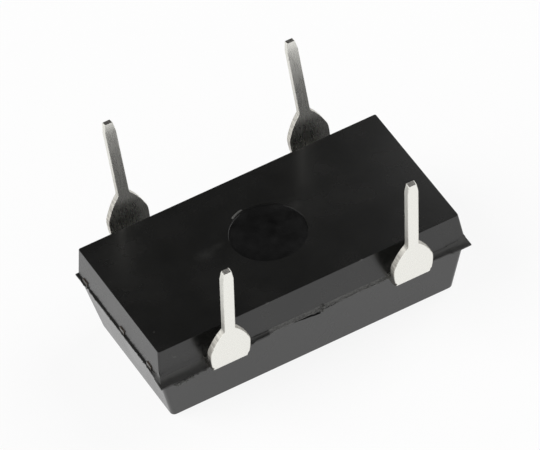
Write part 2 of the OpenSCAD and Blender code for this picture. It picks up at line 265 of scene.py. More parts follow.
def enlarge(piece, factor):
    edit(piece)
    choose_all()
    bpy.ops.transform.resize(value=(factor, factor, factor), center_override=(0, 0, 0))
    leave()


def finish_piece(piece, node_name):
    """Shades the piece and gives it its place in the model."""
    pick(piece)
    bpy.ops.object.shade_smooth_by_angle(angle=math.radians(35))
    # Large faces stay flat, and only the narrow rounds between them are smooth. The modifier takes faces
    # as small as these for empty, so the mesh is a thousand times larger meanwhile.
    enlarge(piece, 1 / MM)
    weighted = piece.modifiers.new("flat_faces", "WEIGHTED_NORMAL")
    weighted.keep_sharp, weighted.weight = True, 100
    bpy.ops.object.modifier_apply(modifier=weighted.name)
    enlarge(piece, MM)
    deselect()
    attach(piece, "root")
    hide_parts(node_name)


# Finishes


def plug(tree, made, inputs):
    """Gives a node's inputs their values, or the outputs that feed them."""
    for key, value in inputs.items():
        if isinstance(value, bpy.types.NodeSocket):
            tree.links.new(value, made.inputs[key])
        else:
            made.inputs[key].default_value = value


def node(tree, kind, inputs=None, ramp=(), **settings):
    """Adds a node with its inputs and settings. A ramp is a list of places and the colours there."""
    made = tree.nodes.new(kind)
    for key, value in settings.items():
        setattr(made, key, value)
    for index, (place, rgba) in enumerate(ramp):
        made.color_ramp.elements[index].position = place
        made.color_ramp.elements[index].color = rgba
    plug(tree, made, inputs or {})
    return made


def finish(name, **values):
    """A new material with its node tree, its shader and the piece's own coordinates."""
    material = bpy.data.materials.new(name)
    material.use_nodes = True
    tree = material.node_tree
    shader = tree.nodes["Principled BSDF"]
    for key, value in values.items():
        shader.inputs[key.replace("_", " ").title() if key != "ior" else "IOR"].default_value = value
    return material, tree, shader, tree.nodes.new("ShaderNodeTexCoord").outputs["Object"]


def shade(rgb, factor):
    return tuple(min(1, c * factor) for c in rgb) + (1,)


def shades(rgb, tones, places=(0.25, 0.75)):
    """A ramp from the first tone of a colour to the second, between two places."""
    return [(place, shade(rgb, tone)) for place, tone in zip(places, tones)]


def patterned(name, rgb, pattern, size, tones, rough, relief, stretch=(1, 1, 1), **values):
    """A finish whose tone, gloss and relief follow one pattern. The size of the pattern's features and the
    depth of its relief are in millimetres."""
    material, tree, shader, place = finish(name, **values)
    turned = node(tree, "ShaderNodeMapping", {"Vector": place, "Scale": stretch})
    drawn = node(tree, pattern, {"Vector": turned.outputs["Vector"], "Scale": 1 / (size * MM)})
    value = drawn.outputs["Fac" if "Fac" in drawn.outputs else "Distance"]
    tone = node(tree, "ShaderNodeValToRGB", {"Fac": value}, shades(rgb, tones))
    gloss = node(tree, "ShaderNodeMapRange", {"Value": value, "To Min": rough[0], "To Max": rough[1]})
    bump = node(tree, "ShaderNodeBump", {"Strength": 0.3, "Distance": relief * MM, "Height": value})
    plug(tree, shader, {
        "Base Color": tone.outputs["Color"], "Roughness": gloss.outputs["Result"],
        "Normal": bump.outputs["Normal"],
    })
    return material


def fading(material, axis, start, end, rgba, metallic=None):
    """Fades a finish's colour, and its metallic value if one is given, along an axis between two places in
    millimetres."""
    tree = material.node_tree
    shader = tree.nodes["Principled BSDF"]
    place = node(tree, "ShaderNodeSeparateXYZ", {0: tree.nodes["Texture Coordinate"].outputs["Object"]})
    share = node(tree, "ShaderNodeMapRange", {
        "Value": place.outputs[axis], "From Min": start * MM, "From Max": end * MM,
    })
    before = shader.inputs["Base Color"].links[0].from_socket
    mixed = node(
        tree, "ShaderNodeMix", {"Factor": share.outputs["Result"], 6: before, 7: rgba}, data_type="RGBA"
    )
    plug(tree, shader, {"Base Color": mixed.outputs[2]})
    if metallic is not None:
        full = shader.inputs["Metallic"].default_value
        less = node(tree, "ShaderNodeMapRange", {
            "Value": share.outputs["Result"], "To Min": full, "To Max": metallic,
        })
        plug(tree, shader, {"Metallic": less.outputs["Result"]})
    return material


# Marks of handling on the moulded skin: place and size along each axis in millimetres, turn about Y in
# degrees, and how strongly each shows.
MARKS = [
    ((-2.5, 0.26, 3.9), (0.5, 0.35, 0.2), 0, 0.14), ((-1.9, 0.4, 3.9), (0.35, 0.2, 0.2), 0, 0.1),
    ((1.5, 0.6, 3.9), (0.3, 0.25, 0.2), 0, 0.12), ((-5.9, -2.12, 3.9), (0.05, 0.04, 0.05), 0, 0.5),
    ((-6.05, 0.98, 3.9), (0.05, 0.05, 0.05), 0, 0.5), ((-5.67, -3.17, 3.38), (0.13, 0.05, 0.025), 28, 0.9),
    ((-1.75, -3.12, 3.88), (0.12, 0.05, 0.05), 0, 0.6), ((2.18, -3.12, 3.88), (0.12, 0.05, 0.05), 0, 0.6),
]


def moulded_epoxy(settings):
    """Black epoxy moulding compound, transfer-moulded in a fine-eroded tool: a satin black skin that mirrors
    a bright floor at a low angle, cloudy where the filler lies near the surface, with a few scuffs."""
    material, tree, shader, place = finish("black_epoxy_compound_moulded", ior=1.58)
    # Clouds of filler, 1.5 mm across.
    clouds = node(tree, NOISE, {"Vector": place, "Scale": 1 / (1.5 * MM), "Detail": 3.0})
    # Filler grains are some 0.03 mm; they are drawn 0.09 mm wide, so that they show.
    grains = node(tree, NOISE, {"Vector": place, "Scale": 1 / (0.09 * MM), "Detail": 2.0})
    tone = node(
        tree, "ShaderNodeValToRGB", {"Fac": clouds.outputs["Fac"]},
        shades(settings.compound, (0.85, 1.2), (0.3, 0.75)),
    )
    worn = 0.0
    for spot, size, turn, strength in MARKS:
        centred = node(tree, "ShaderNodeMapping", {
            "Vector": place, "Location": [c * MM for c in spot], "Rotation": (0, math.radians(turn), 0),
            "Scale": [c * MM for c in size],
        }, vector_type="TEXTURE")
        ball = node(
            tree, "ShaderNodeTexGradient", {"Vector": centred.outputs["Vector"]}, gradient_type="SPHERICAL"
        )
        worn = node(
            tree, "ShaderNodeMath", {0: ball.outputs["Fac"], 1: strength, 2: worn}, operation="MULTIPLY_ADD"
        ).outputs["Value"]
    scuffs = node(tree, "ShaderNodeMath", {0: worn, 1: grains.outputs["Fac"]}, operation="MULTIPLY")
    mixed = node(tree, "ShaderNodeMix", {
        "Factor": scuffs.outputs["Value"], 6: tone.outputs["Color"], 7: shade(settings.torn, 2),
    }, data_type="RGBA")
    gloss = node(tree, "ShaderNodeMapRange", {
        "Value": clouds.outputs["Fac"], "From Min": 0.3, "From Max": 0.7, "To Min": 0.24, "To Max": 0.29,
    })
    bump = node(tree, "ShaderNodeBump", {
        "Strength": 0.15, "Distance": 0.004 * MM, "Height": grains.outputs["Fac"],
    })
    plug(tree, shader, {
        "Base Color": mixed.outputs[2], "Roughness": gloss.outputs["Result"],
        "Normal": bump.outputs["Normal"],
    })
    return material


def torn_epoxy_and_painted_glint(settings):
    """The same compound where thin flash broke off: a rough, greyer fracture that scatters light. On the high
    burr at the ejector recess, this lighter finish is a painted glint.
    """
    # Fracture facets, 0.06 mm across.
    return patterned(
        "black_epoxy_compound_torn_and_painted_glint", settings.torn, CELLS, size=0.06, tones=(1.2, 0.5), rough=(0.5, 0.7),
        relief=0.02, ior=1.58,
    )


def flash_epoxy_with_painted_shade(settings):
    """The same compound squeezed thin between the tool's halves: resin-poor, so dull and a little greyer. Its
    colour is darkened towards the parting line as painted shade along the seam.
    """
    # Flow streaks, 0.15 mm across.
    material = patterned(
        "black_epoxy_compound_flash_painted_shade", settings.flash_tone, NOISE, size=0.15, tones=(0.8, 1.2),
        rough=(0.42, 0.58), relief=0.008, ior=1.58,
    )
    # Painted shade: the colour fades from the flash grey where it climbs the wall to a darker copy at its
    # thin outer edge by the parting line.
    return fading(material, "Z", 2.76, 2.55, shade(settings.flash_tone, 0.4))


def pressed_epoxy_and_painted_shade(settings):
    """The same compound under the ejector pin's ground end, with blotches where the pin let go; its blacker
    colour is painted shade on the recess's floor.
    """
    # Blotches, 0.6 mm across.
    return patterned(
        "black_epoxy_compound_pressed_and_painted_shade", settings.pressed_and_painted_shade, NOISE, size=0.6, tones=(0.3, 2.2), rough=(0.2, 0.3),
        relief=0.002, ior=1.5,
    )


def matt_tin(settings):
    """Matt tin, electroplated on rolled strip: a soft white metal with a fine crystal grain and faint rolling
    lines along the blade."""
    material, tree, shader, place = finish("matt_tin_electroplated", metallic=1)
    # Tin's grain is some 0.005 mm; it is drawn 0.08 mm wide, so that it shows.
    grain = node(tree, NOISE, {"Vector": place, "Scale": 1 / (0.08 * MM), "Detail": 3.0})
    # Rolling lines are some 0.01 mm apart; they are drawn 0.06 mm apart, and 4 mm long up the blade.
    stretch = node(tree, "ShaderNodeMapping", {"Vector": place, "Scale": (1, 1, 0.015)})
    lines = node(tree, NOISE, {
        "Vector": stretch.outputs["Vector"], "Scale": 1 / (0.06 * MM), "Detail": 2.0,
    })
    tone = node(
        tree, "ShaderNodeValToRGB", {"Fac": grain.outputs["Fac"]},
        shades(settings.tin, (0.985, 1.005), (0.3, 0.6)),
    )
    gloss = node(tree, "ShaderNodeMapRange", {
        "Value": lines.outputs["Fac"], "From Min": 0.3, "From Max": 0.7, "To Min": 0.25, "To Max": 0.31,
    })
    height = node(
        tree, "ShaderNodeMath", {0: grain.outputs["Fac"], 1: lines.outputs["Fac"]}, operation="ADD"
    )
    bump = node(tree, "ShaderNodeBump", {
        "Strength": 0.018, "Distance": 0.002 * MM, "Height": height.outputs["Value"],
    })
    plug(tree, shader, {
        "Base Color": tone.outputs["Color"], "Roughness": gloss.outputs["Result"],
        "Normal": bump.outputs["Normal"],
    })
    return material


def sheared_tin(settings):
    """The stamped side faces, plated over the punch's drag marks: darker, with close lines across them."""
    material, tree, shader, place = finish("matt_tin_over_sheared_edge", metallic=1)
    # Drag marks 0.07 mm apart, running through the metal's thickness.
    stretch = node(tree, "ShaderNodeMapping", {"Vector": place, "Scale": (1, 0.12, 1)})
    drag = node(tree, NOISE, {
        "Vector": stretch.outputs["Vector"], "Scale": 1 / (0.07 * MM), "Detail": 2.0,
    })
    tone = node(
        tree, "ShaderNodeValToRGB", {"Fac": drag.outputs["Fac"]},
        shades(settings.sheared, (0.52, 0.86), (0.35, 0.65)),
    )
    # The die burnished the head's lower sides, and tore the metal above them.
    height = node(tree, "ShaderNodeSeparateXYZ", {0: place})
    gloss = node(tree, "ShaderNodeMapRange", {
        "Value": height.outputs["Z"], "From Min": 3.1 * MM, "From Max": 3.6 * MM,
        "To Min": 0.28, "To Max": 0.6,
    })
    bump = node(tree, "ShaderNodeBump", {
        "Strength": 0.5, "Distance": 0.006 * MM, "Height": drag.outputs["Fac"],
    })
    plug(tree, shader, {
        "Base Color": tone.outputs["Color"], "Roughness": gloss.outputs["Result"],
        "Normal": bump.outputs["Normal"],
    })
    # Up the pin, the plating is thicker and whiter.
    return fading(material, "Z", 4.0, 6.4, shade(settings.tin, 0.9))


def cut_tin(settings):
    """The pin's end, cut to length after plating: bare alloy with tin smeared over it, dull and grey."""
    # Smears, 0.06 mm across.
    return patterned(
        "tin_smeared_over_cut_end", settings.tip_end, NOISE, size=0.06, tones=(0.7, 1.3), rough=(0.3, 0.45),
        relief=0.01, metallic=1,
    )


# The moulded body

# In the middle of the front, between these places in millimetres, the flash is torn off close to the wall.
TORN_FROM, TORN_TO = -1.85, 3.1

# Flash along each wall, in millimetres: wall, from, to, how far it reaches out of the wall, and how far it
# climbs the wall above itself.
FLASH = [
    ("left", 3.2, 3.6, 0.08, 0), ("left", 2.5, 3.2, 0.08, 0), ("left", 2.3, 2.5, 0.03, 0),
    ("left", -1.95, 2.3, 0.06, 0), ("left", -2.25, -1.95, 0.05, 0), ("left", -2.6, -2.25, 0.07, 0),
    ("left", -2.75, -2.6, 0.08, 0.04), ("left", -2.9, -2.75, 0.09, 0.1), ("left", -3.2, -2.9, 0.11, 0.2),
    ("left", -3.8, -3.2, 0.16, 0),
    ("front", -6.7, -6.25, 0.35, 0.32), ("front", -6.25, -4.5, 0.35, 0.38), ("front", -4.5, -2.6, 0.2, 0.1),
    ("front", -2.6, TORN_FROM, 0.13, 0.07),
    ("front", TORN_FROM, TORN_TO, 0.05, 0.12), ("front", TORN_TO, 4.5, 0.05, 0.05),
    ("front", 4.5, 5.6, 0.19, 0.16), ("front", 5.6, 6.7, 0.24, 0.2),
    ("right", -3.6, -2.6, 0.11, 0.12), ("right", 0.4, 1.6, 0.1, 0.03), ("right", 2.4, 3.6, 0.05, 0),
    ("back", -6.7, -4.6, 0.04, 0), ("back", -2.6, 0.8, 0.05, 0.08), ("back", 4.7, 6.7, 0.12, 0.05),
]

# From the wall outwards, each step's share of the reach and of the climb: a hollow fillet, then a flat
# edge.
STEPS_OUT = [(0, 1.0), (0.08, 0.6), (0.25, 0.3), (0.55, 0.1), (1.0, 0.0)]

# Crumbs of torn flash, in millimetres: place and size.
CRUMBS = [
    (-5.98, -3.6, 2.45, 0.08), (-5.84, -3.61, 2.42, 0.17), (-5.67, -3.6, 2.46, 0.12),
    (-5.53, -3.61, 2.44, 0.16), (-5.4, -3.6, 2.46, 0.1), (-5.26, -3.61, 2.46, 0.14),
    (-5.02, -3.59, 2.47, 0.1), (-4.72, -3.58, 2.47, 0.12), (-4.6, -3.55, 2.48, 0.08),
    (-1.8, -3.3, 2.5, 0.08), (0.3, -3.3, 2.5, 0.14), (0.4, -3.29, 2.6, 0.1), (0.34, -3.29, 2.38, 0.09),
    (0.62, -3.3, 2.52, 0.07), (0.9, -3.3, 2.52, 0.06), (1.35, -3.3, 2.53, 0.06),
    (2.25, -3.3, 2.54, 0.08), (2.4, -3.3, 2.53, 0.06), (2.75, -3.3, 2.54, 0.06), (5.75, -3.46, 2.48, 0.07),
    (-6.42, 2.42, 2.52, 0.07), (-6.43, -2.0, 2.5, 0.06),
]

# Slivers that broke out of the marking-side wall under the flash, the gate's first, in millimetres: from,
# to, drop at either end, depth.
NOTCHES = [(-0.82, 0.28, 0.08, 0.27, 0.1), (0.47, 1.3, 0.1, 0.06, 0.06)]

# Burrs round the ejector recess: start and end angle in degrees, then radius, width and height in
# millimetres. The first is high enough to take the lighter torn finish, which paints a glint on the rim.
BURRS_WITH_PAINTED_GLINT = [(101, 121, 1.54, 0.07, 0.035), (125, 165, 1.51, 0.05, 0.003), (-56, -9, 1.51, 0.05, 0.003)]


def outside(place, settings):
    """How far a place lies outside the body's rounded outline at the parting line."""
    x = abs(place.x) - settings.length / 2 + settings.corner
    y = abs(place.y) - settings.width / 2 + settings.corner
    return math.hypot(max(x, 0), max(y, 0)) + min(max(x, y), 0) - settings.corner


def corners(half_x, half_y):
    return [(x * half_x, y * half_y) for x in (-1, 1) for y in (-1, 1)]


def model_flash(settings):
    """The thin rim that the compound squeezed out between the tool's halves, torn to many lengths."""
    half_x, half_y = settings.length / 2, settings.width / 2
    parting, lip = settings.parting, settings.parting + settings.flash_depth
    # The long edges get stations 0.08 mm apart along the rim.
    for axis, cuts in (("x", 154), ("y", 76)):
        choose("EDGE", lambda e: between(parting, middle(e).z, lip) and abs(getattr(run(e), axis)) > 1 * MM)
        bpy.ops.mesh.subdivide(number_cuts=cuts)
    step = settings.flash / (len(STEPS_OUT) - 1)

    def ring(v, level):
        return round(outside(v.co, settings) / step) == level and between(parting, v.co.z, lip)

    for level in range(1, len(STEPS_OUT)):
        choose("FACE", lambda f: all(ring(v, level - 1) for v in f.verts))
        bpy.ops.mesh.extrude_region_shrink_fatten(
            TRANSFORM_OT_shrink_fatten={"value": step, "use_even_offset": True}
        )
    # Each step's corners are square.
    for level in range(1, len(STEPS_OUT)):
        for x, y in corners(half_x + step * level, half_y + step * level):
            near = settings.corner + step * level
            choose("VERT", lambda v: ring(v, level) and max(abs(v.co.x - x), abs(v.co.y - y)) <= near)
            bpy.ops.transform.resize(value=(0.02, 0.02, 1), center_override=(x, y, lip))
            bpy.ops.mesh.remove_doubles(threshold=3 * NEAR)
    # The pin-side half has sharper upright edges.
    for level in (lip, settings.height):
        lean = settings.upper_draft * (level - parting) / (settings.height - parting)
        for x, y in corners(half_x - lean, half_y - lean):
            choose("VERT", lambda v: between(level, v.co.z, level) and outside(v.co, settings) < step / 2
                   and max(abs(v.co.x - x), abs(v.co.y - y)) <= settings.corner)
            bpy.ops.transform.resize(value=(0.4, 0.4, 1), center_override=(x, y, level))
    pull_rows(settings, step)

    # The outer steps' edges are ragged.
    outer, ragged = 0.045 * MM, 0.02 * MM
    choose("VERT", lambda v: parting - NEAR < v.co.z < lip + 0.01 * MM and outside(v.co, settings) > outer
           and (abs(v.co.x) < half_x - settings.corner or abs(v.co.y) < half_y - settings.corner))
    roughen(ragged, 4)


def pull_rows(settings, step):
    """Lifts each row of the flash up the wall and pulls it out to its reach."""
    half_x, half_y = settings.length / 2, settings.width / 2
    parting, lip = settings.parting, settings.parting + settings.flash_depth
    lean = settings.upper_draft / (settings.height - parting)
    # No row climbs higher than this.
    highest = lip + 0.45 * MM
    # On the wall itself, a row takes the whole round of a corner with it.
    corner_round = 0.09 * MM
    for wall, start, end, reach, climb in FLASH:
        along, across = ("x", "y") if wall in ("front", "back") else ("y", "x")
        side = -1 if wall in ("front", "left") else 1
        half = half_y if across == "y" else half_x
        # A wide row starts with its outermost step and a narrow one with its innermost, so that no step
        # lands on one that still has to move.
        wide = reach > 0.1
        levels = range(len(STEPS_OUT))
        for level in (reversed(levels) if wide else levels):
            share, rise = STEPS_OUT[level]
            inwards = step / 3 if level else corner_round

            def here(v):
                out = side * getattr(v.co, across) - half - step * level
                return start * MM < getattr(v.co, along) <= end * MM and -inwards < out < step / 3

            if climb * rise:
                lift = Vector((0, 0, rise * climb * MM))
                if level == 0:
                    setattr(lift, across, -side * rise * climb * MM * lean)
                choose("VERT", lambda v: here(v) and between(lip, v.co.z, highest))
                bpy.ops.transform.translate(value=lift)
            if level:
                move = Vector((0, 0, 0))
                setattr(move, across, side * (reach * MM * share - step * level))
                choose("VERT", lambda v: here(v) and between(parting, v.co.z, highest))
                bpy.ops.transform.translate(value=move)


def model_torn_bits(body, settings):
    """Crumbs of flash along the parting line and burrs round the ejector recess, made one with the body. The
    high burr's lighter torn finish is a painted glint.
    """
    pieces = []
    for number, (x, y, z, size) in enumerate(CRUMBS):
        deselect()
        bpy.ops.mesh.primitive_ico_sphere_add(
            subdivisions=1, radius=size * MM / 2, location=(x * MM, y * MM, z * MM)
        )
        pieces.append(named("crumb", (1.5, 1, 0.8)))
        edit(pieces[-1])
        choose_all()
        roughen(size * MM / 6, number)
        leave()
    for start, end, radius, wide, high in BURRS_WITH_PAINTED_GLINT:
        turn = math.radians(end)
        deselect()
        bpy.ops.mesh.primitive_plane_add(
            size=1, rotation=(math.pi / 2, 0, turn),
            location=(radius * MM * math.cos(turn), radius * MM * math.sin(turn), settings.height),
        )
        pieces.append(named("burr", (wide * MM, 2 * high * MM, 1)))
        edit(pieces[-1])
        choose_all()
        bpy.ops.mesh.spin(
            steps=12, angle=math.radians(end - start), center=(0, 0, settings.height), axis=(0, 0, 1)
        )
        choose_all()
        bpy.ops.mesh.fill_holes(sides=4)
        face_outwards()
        choose("VERT", lambda v: v.co.z > settings.height)
        roughen(high * MM / 2, end)
        leave()
    # A burr so low that it is only a rim of the recess keeps the moulded skin; the crumbs and the high burr
    # take the lighter torn finish, which on the high burr is a painted glint.
    low_rim = 0.02 * MM
    for piece in pieces:
        for material in body.data.materials:
            piece.data.materials.append(material)
        edit(piece)
        choose_all()
        assign(piece, SKIN if piece.dimensions.z < low_rim else TORN_AND_PAINTED_GLINT)
        leave()
        cut(body, piece, "UNION")


def model_body(settings, materials):
    """The body: two drafted halves with flash between them, recesses, the broken gate and torn bits."""
    parting, lip = settings.parting, settings.parting + settings.flash_depth
    deselect()
    bpy.ops.mesh.primitive_cube_add(size=1, location=(0, 0, settings.height / 2))
    body = named("epoxy_body", (settings.length, settings.width, settings.height))
    for material in materials:
        body.data.materials.append(material)
    edit(body)
    for level in (parting, lip):
        choose_all()
        bpy.ops.mesh.bisect(plane_co=(0, 0, level), plane_no=(0, 0, 1), threshold=NEAR / 10)
    choose("EDGE", lambda e: abs(run(e).normalized().z) > 0.9)
    bpy.ops.mesh.bevel(offset=settings.corner, segments=6, affect="EDGES")

    # Both halves lean in from the parting line.
    for level, draft in ((settings.height, settings.upper_draft), (0, settings.lower_draft)):
        choose("VERT", lambda v: between(level, v.co.z, level))
        bpy.ops.transform.resize(
            value=(1 - 2 * draft / settings.length, 1 - 2 * draft / settings.width, 1),
            center_override=(0, 0, level),
        )
    model_flash(settings)

    # The rims of both faces are a little round.
    for level, round_off in ((settings.height, settings.upper_rim), (0, settings.lower_rim)):
        choose("EDGE", lambda e: all(between(level, v.co.z, level) for v in e.verts))
        bpy.ops.mesh.bevel(offset=round_off, segments=2, affect="EDGES")
    face_outwards()
    leave()
    cut_recesses(body, settings)
    break_gate(body, settings)
    model_torn_bits(body, settings)
    return body


def cut_recesses(body, settings):
    """The ejector-pin recess on the pin side, and the dimple at lead 1 on the marking side."""
    from_walls = settings.lower_draft + settings.dimple_inset
    dimple_x, dimple_y = from_walls - settings.length / 2, settings.width / 2 - from_walls
    for across, depth, place in (
        (settings.ejector, settings.ejector_depth, (0, 0, settings.height)),
        (settings.dimple, settings.dimple_depth, (dimple_x, dimple_y, 0)),
    ):
        deselect()
        bpy.ops.mesh.primitive_cylinder_add(vertices=96, radius=across / 2, depth=2 * depth, location=place)
        tool = named("recess_tool")
        edit(tool)
        choose("EDGE", lambda e: abs(run(e).z) < NEAR)
        bpy.ops.mesh.bevel(offset=settings.recess_corner, segments=2, affect="EDGES")
        leave()
        cut(body, tool)


def break_gate(body, settings):
    """The gate broke off ragged and took slivers of the marking-side wall with it."""
    parting, wall = settings.parting, -settings.width / 2
    # A sliver's hollow opens into the seam above it.
    top = parting + 0.012 * MM
    for start, end, near_drop, far_drop, depth in NOTCHES:
        deepest = parting - max(near_drop, far_drop) * MM
        deselect()
        bpy.ops.mesh.primitive_cube_add(
            size=1, location=((start + end) * MM / 2, wall, (top + deepest) / 2)
        )
        tool = named("notch_tool", ((end - start) * MM, 2 * depth * MM, top - deepest))
        edit(tool)
        for x, drop in ((start, near_drop), (end, far_drop)):
            choose("VERT", lambda v: abs(v.co.x - x * MM) < NEAR and v.co.z < parting)
            bpy.ops.transform.translate(value=(0, 0, parting - drop * MM - deepest))
        choose("EDGE", lambda e: abs(run(e).x) > 0.5 * MM)
        bpy.ops.mesh.subdivide(number_cuts=11)
        choose("VERT", lambda v: v.co.y > wall)
        roughen(0.025 * MM, 2)
        leave()
        cut(body, tool)


class OSCILLATOR_OT_body(bpy.types.Operator):
    """Models the moulded body: two drafted halves, flash, the broken gate's notches, ejector recess and
    dimple
    """
    bl_idname = "oscillator.body"
    bl_label = "Moulded Body"

    def execute(self, context):
        settings = context.scene.oscillator_body
        materials = [make(settings) for make in (moulded_epoxy, torn_epoxy_and_painted_glint, flash_epoxy_with_painted_shade, pressed_epoxy_and_painted_shade)]
        body = model_body(settings, materials)
        # The flash lies between these heights, and hardly inside the outline.
        low, high, inside = settings.parting - 0.05 * MM, settings.parting + 0.5 * MM, -0.03 * MM
        floor = settings.height - settings.ejector_depth

        def flash(f):
            return f.material_index == SKIN and all(
                between(low, v.co.z, high) and outside(v.co, settings) > inside for v in f.verts
            )

        def torn_flash(f):
            middle_of_front = between(TORN_FROM * MM, f.calc_center_median().x, TORN_TO * MM)
            return middle_of_front and f.normal.y < -0.1 and flash(f)

        # The ejector recess's floor takes the pressed finish, whose blacker colour is painted shade.
        def ejector_floor(f):
            return f.normal.z > 0.9 and between(floor, f.calc_center_bounds().z, floor)

        edit(body)
        for finish_index, test in ((TORN_AND_PAINTED_GLINT, torn_flash), (FLASHED, flash), (PRESSED_AND_PAINTED_SHADE, ejector_floor)):
            choose("FACE", test)
            assign(body, finish_index)
        leave()
        finish_piece(body, "moulded_body")
        return {"FINISHED"}


# The leads

# Half widths of the stand-off head at heights above the bend, both in millimetres.
HEAD = [
    (0.1, 0.78), (0.35, 0.815), (0.62, 0.83), (0.8, 0.828), (0.93, 0.805), (1.04, 0.762), (1.15, 0.708),
    (1.25, 0.66), (1.345, 0.612), (1.5, 0.52), (1.6, 0.452), (1.69, 0.385), (1.77, 0.315), (1.85, 0.245),
    (1.95, 0.23),
]

# The four leads: number, row, end of the body, and how much longer than nominal the pin was cut, in
# millimetres. The two at the right end are the long ones, each with a finger inside the body.
LEADS = [
    ("1", REAR, LEFT, -0.09), ("4", REAR, RIGHT, -0.11), ("5", FRONT, RIGHT, 0.22), ("8", FRONT, LEFT, 0.05),
]

# Coining leaves the point's end this much of the metal's thickness.
COINED = 0.84


def up_the_pin(settings):
    return Vector((0, math.sin(settings.splay), math.cos(settings.splay)))


def sheared_side(f):
    return abs(f.normal.x) > 0.35


def model_lead(settings):
    """One lead as it shows outside the body, for the rear row, in the middle of the row."""
    thickness, bend = settings.metal, settings.bend
    outer = -bend - thickness
    deselect()
    first_height, first_half = HEAD[0][0] * MM, HEAD[0][1] * MM
    bpy.ops.mesh.primitive_plane_add(size=1, location=(0, first_height / 2, outer))
    lead = named("lead_blank", (settings.foot, first_height, 1))
    edit(lead)
    choose("EDGE", lambda e: all(v.co.y > first_height - NEAR for v in e.verts))
    bpy.ops.transform.resize(
        value=(2 * first_half / settings.foot, 1, 1), center_override=(0, first_height, outer)
    )
    stations = [(y * MM, half * MM) for y, half in HEAD]
    stations += [(settings.reach - settings.tip, settings.pin / 2), (settings.reach, settings.tip_width / 2)]
    for (low, wide), (high, narrow) in zip(stations, stations[1:]):
        extrude(0, high - low, 0)
        bpy.ops.transform.resize(value=(narrow / wide, 1, 1), center_override=(0, high, outer))
    choose_all()
    extrude(0, 0, thickness)
    choose("VERT", lambda v: v.co.y > settings.reach - NEAR)
    bpy.ops.transform.resize(
        value=(1, 1, COINED), center_override=(0, settings.reach, outer + thickness / 2)
    )
    face_outwards()
    leave()

    # Stood up on its bend, leaning outwards, and swept round the bend.
    centre = Vector((0, settings.bend_place, SHORT_LOW.z + thickness + bend))
    lead.rotation_euler = (math.pi / 2 - settings.splay, 0, 0)
    lead.location = centre
    pick(lead)
    bpy.ops.object.transform_apply(location=True, rotation=True, scale=True)
    up = up_the_pin(settings)
    edit(lead)
    choose("FACE", lambda f: abs((f.calc_center_median() - centre).dot(up)) < NEAR)
    bpy.ops.mesh.spin(steps=8, angle=math.pi / 2 - settings.splay, center=centre, axis=(1, 0, 0))
    face_outwards()
    leave()
    return lead


def lead_copy(blank, name, settings, side, x, trim):
    """Copies the lead, cuts its pin to length, adds its inner end and sets it in its place."""
    long_one = x > 0
    inner = LONG_LOW if long_one else SHORT_LOW
    pick(blank)
    bpy.ops.object.duplicate()
    lead = bpy.context.active_object
    lead.name = lead.data.name = name
    edit(lead)
    # The only vertices above this are those of the pin's point.
    pin_top = 6 * MM
    choose("VERT", lambda v: v.co.z > pin_top)
    bpy.ops.transform.translate(value=up_the_pin(settings) * trim * MM)

    # The inner end, with the finger of the long leads, grows out of the foot, which is all below this.
    foot_top = 2.75 * MM
    stops = [inner.y + settings.finger, inner.y] if long_one else [inner.y]
    reached = settings.bend_place
    for stop in stops:
        choose("FACE", lambda f: f.normal.y < -0.9 and abs(f.calc_center_median().y - reached) < NEAR
               and f.calc_center_median().z < foot_top)
        extrude(0, stop - reached, 0)
        reached = stop
    if long_one:
        choose("FACE", lambda f: f.normal.x < -0.9 and f.calc_center_median().y < inner.y + settings.finger)
        extrude(inner.x - (x - settings.foot / 2), 0, 0)
    choose_all()
    bpy.ops.transform.translate(value=(x, 0, 0))
    bpy.ops.mesh.remove_doubles(threshold=NEAR / 4)
    face_outwards()
    leave()
    deselect()
    bpy.ops.mesh.primitive_cylinder_add(
        vertices=32, radius=settings.hole / 2, depth=4 * settings.metal,
        location=(x, inner.y + settings.hole_inset, SHORT_LOW.z + settings.metal / 2),
    )
    cut(lead, named("hole_tool"))
    edit(lead)
    if side == FRONT:
        choose_all()
        bpy.ops.transform.resize(value=(1, -1, 1), center_override=(0, 0, 0))
        face_outwards()

    # Stamping leaves the long edges a little round, as far as they show outside the body.
    shows_from, rolled_edge = 3.2 * MM, 0.025 * MM
    choose(
        "EDGE",
        lambda e: len(e.link_faces) == 2 and sheared_side(e.link_faces[0]) != sheared_side(e.link_faces[1])
        and e.calc_face_angle() > math.radians(50) and abs(middle(e).y) > shows_from,
    )
    bpy.ops.mesh.bevel(offset=rolled_edge, segments=2, affect="EDGES")
    leave()
    return lead


class OSCILLATOR_OT_leads(bpy.types.Operator):
    """Models one stamped and bent lead and makes the four leads from it"""
    bl_idname = "oscillator.leads"
    bl_label = "Leads"

    def execute(self, context):
        settings = context.scene.oscillator_leads
        finishes = [make(settings) for make in (matt_tin, sheared_tin, cut_tin)]
        blank = model_lead(settings)
        # Every pin's cut end lies higher than this.
        ends_from = 7 * MM
        for number, side, end, trim in LEADS:
            lead = lead_copy(blank, "tinned_lead_" + number, settings, side, end * settings.pitch / 2, trim)
            for material in finishes:
                lead.data.materials.append(material)
            edit(lead)
            for finish_index, test in (
                (SHEARED, sheared_side),
                (CUT, lambda f: f.normal.z > 0.9 and f.calc_center_median().z > ends_from),
            ):
                choose("FACE", test)
                assign(lead, finish_index)
            leave()
            finish_piece(lead, "lead_" + number)
        bpy.data.objects.remove(blank)
        return {"FINISHED"}


# What the body holds

